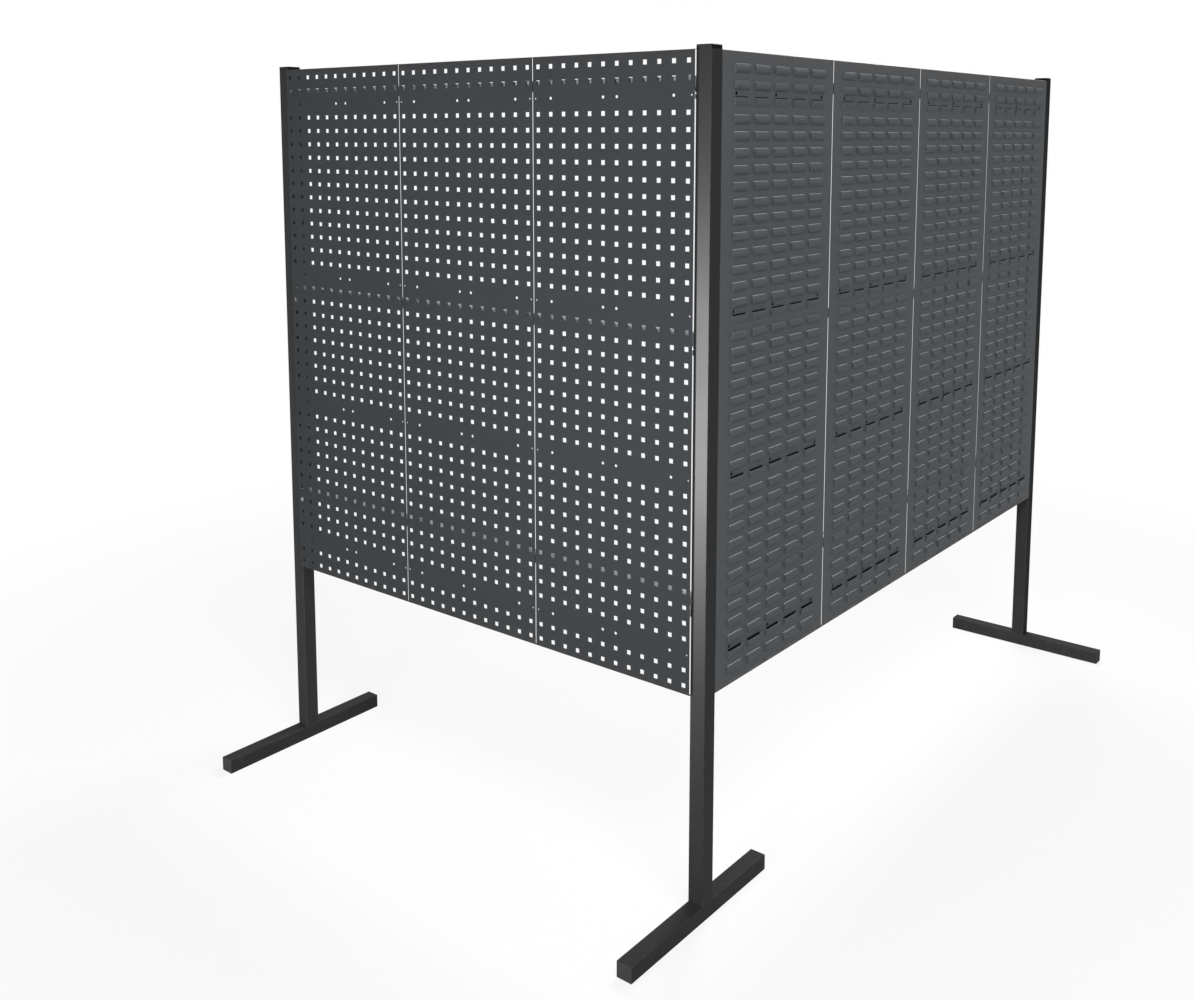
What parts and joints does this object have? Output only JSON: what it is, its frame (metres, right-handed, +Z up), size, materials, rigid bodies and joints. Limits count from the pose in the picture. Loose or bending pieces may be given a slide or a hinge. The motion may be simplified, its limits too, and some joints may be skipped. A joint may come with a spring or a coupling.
{
  "type": "l-shaped panel display stand",
  "caption": "Free-standing L-shaped display stand: perforated panel wall and louvred panel wall on rails between square posts with foot bars and black caps.",
  "frame": {"origin": "centre of the bounding box, at floor level", "axes": "+Z up, the perforated wall runs along X and faces -Y, the louvred wall runs along Y and faces +X"},
  "size_m": [1.776, 2.4176, 2.057],
  "materials": {
    "post_paint": "satin dark grey powder coat on steel tube",
    "rail_paint": "satin light grey powder coat on steel tube",
    "strip_paint": "matt black powder coat on steel strip",
    "perf_paint": "satin blue-grey powder coat on perforated steel sheet",
    "louvre_paint": "satin blue-grey powder coat on louvred steel sheet",
    "black_plastic": "black moulded plastic",
    "grey_plastic": "dark grey moulded plastic",
    "zinc": "zinc-plated steel"
  },
  "bodies": {
    "root": {"left_post": "post_paint", "corner_post": "post_paint", "right_post": "post_paint", "left_foot_bar": "post_paint", "corner_foot_bar": "post_paint", "right_foot_bar": "post_paint", "perf_rail_top": "rail_paint", "perf_rail_middle": "rail_paint", "perf_rail_bottom": "rail_paint", "louvre_rail_top": "rail_paint", "louvre_rail_middle": "rail_paint", "louvre_rail_bottom": "rail_paint", "louvre_strips_1": "strip_paint", "louvre_strips_2": "strip_paint", "louvre_strips_3": "strip_paint", "louvre_strips_4": "strip_paint", "perf_panel_left": "perf_paint", "perf_panel_centre": "perf_paint", "perf_panel_right": "perf_paint", "louvre_panel_1": "louvre_paint", "louvre_panel_2": "louvre_paint", "louvre_panel_3": "louvre_paint", "louvre_panel_4": "louvre_paint", "left_post_cap": "black_plastic", "corner_post_cap": "black_plastic", "right_post_cap": "black_plastic", "left_foot_end_caps": "grey_plastic", "corner_foot_end_caps": "grey_plastic", "right_foot_end_caps": "grey_plastic", "post_nut_plates": "zinc", "foot_bolts": "zinc", "perf_rail_brackets": "zinc", "louvre_rail_brackets": "zinc", "perf_bracket_screws": "zinc", "louvre_bracket_screws": "zinc", "perf_panel_clips": "zinc", "louvre_panel_clips": "zinc", "perf_clip_screws": "zinc", "louvre_clip_screws": "zinc"}
  },
  "joints": []
}
